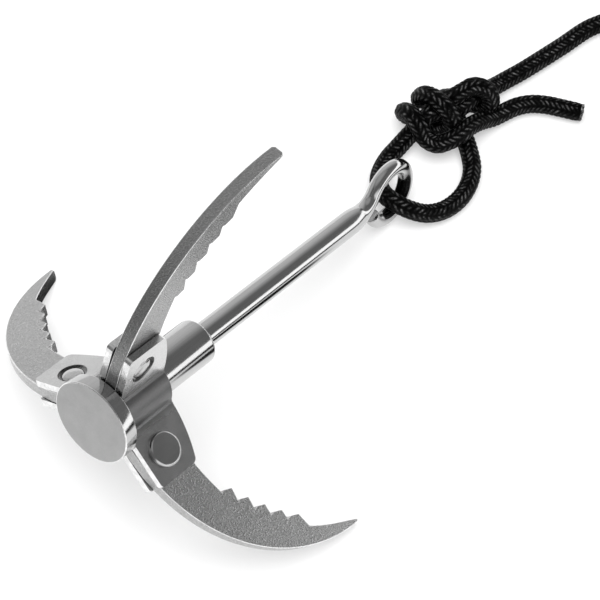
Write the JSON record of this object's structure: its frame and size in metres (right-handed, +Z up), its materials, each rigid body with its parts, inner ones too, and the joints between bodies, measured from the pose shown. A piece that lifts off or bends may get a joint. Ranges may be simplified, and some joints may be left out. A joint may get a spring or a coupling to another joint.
{
  "type": "folding boat anchor",
  "caption": "Folding grapnel anchor for a small boat: toothed claws hinged on a sliding hub, a shank with a forged eye, and a knotted rope.",
  "frame": {"origin": "on the surface that the anchor lies on, under the middle of the metal parts' box", "axes": "+X from the end disc towards the eye and the rope, +Z up; the shank leans down towards the eye by 17.6 degrees, and one claw points up"},
  "size_m": [0.5326, 0.197, 0.1427],
  "materials": {
    "brushed_stainless": "polished and lightly brushed",
    "rolled_sheet": "rolled stainless sheet with bright cut edges",
    "blasted_plate": "cut stainless plate, grainy sides and bright edges",
    "rivet_steel": "satin",
    "rope_black": "braided polyester, slightly glossy",
    "strap_black": "woven strap"
  },
  "bodies": {
    "shank": {"shank_rod": "brushed_stainless", "end_disc": "brushed_stainless", "rope_loop": "rope_black", "rope_tail": "rope_black", "rope_line": "rope_black", "rope_knot": "rope_black", "rope_coil": "rope_black", "coil_tie": "strap_black"},
    "hub": {"hub_sleeve": "brushed_stainless", "bracket_right_top": "rolled_sheet", "bracket_bottom": "rolled_sheet", "bracket_left_top": "rolled_sheet", "rivet_upper": "rivet_steel", "rivet_right": "rivet_steel", "rivet_left": "rivet_steel"},
    "upper_claw": {"claw_upper": "blasted_plate"},
    "right_claw": {"claw_right": "blasted_plate"},
    "left_claw": {"claw_left": "blasted_plate"}
  },
  "joints": [
    {"name": "hub_slide", "type": "slide", "parent": "shank", "child": "hub", "axis": [0.9532, 0, -0.3024], "range_m": [0, 0.012]},
    {"name": "upper_claw_hinge", "type": "hinge", "parent": "hub", "child": "upper_claw", "pos_m": [-0.07075, 0, 0.08946], "axis": [0, 1, 0], "range_deg": [0, 57.2]},
    {"name": "right_claw_hinge", "type": "hinge", "parent": "hub", "child": "right_claw", "pos_m": [-0.08159, -0.0207, 0.05529], "axis": [0.2619, -0.5, 0.8255], "range_deg": [0, 57.2]},
    {"name": "left_claw_hinge", "type": "hinge", "parent": "hub", "child": "left_claw", "pos_m": [-0.08159, 0.0207, 0.05529], "axis": [-0.2619, -0.5, -0.8255], "range_deg": [0, 57.2]}
  ],
  "couplings": [
    {"joint": "upper_claw_hinge", "follows": "hub_slide", "rad_per_m": 83},
    {"joint": "right_claw_hinge", "follows": "hub_slide", "rad_per_m": 83},
    {"joint": "left_claw_hinge", "follows": "hub_slide", "rad_per_m": 83}
  ]
}
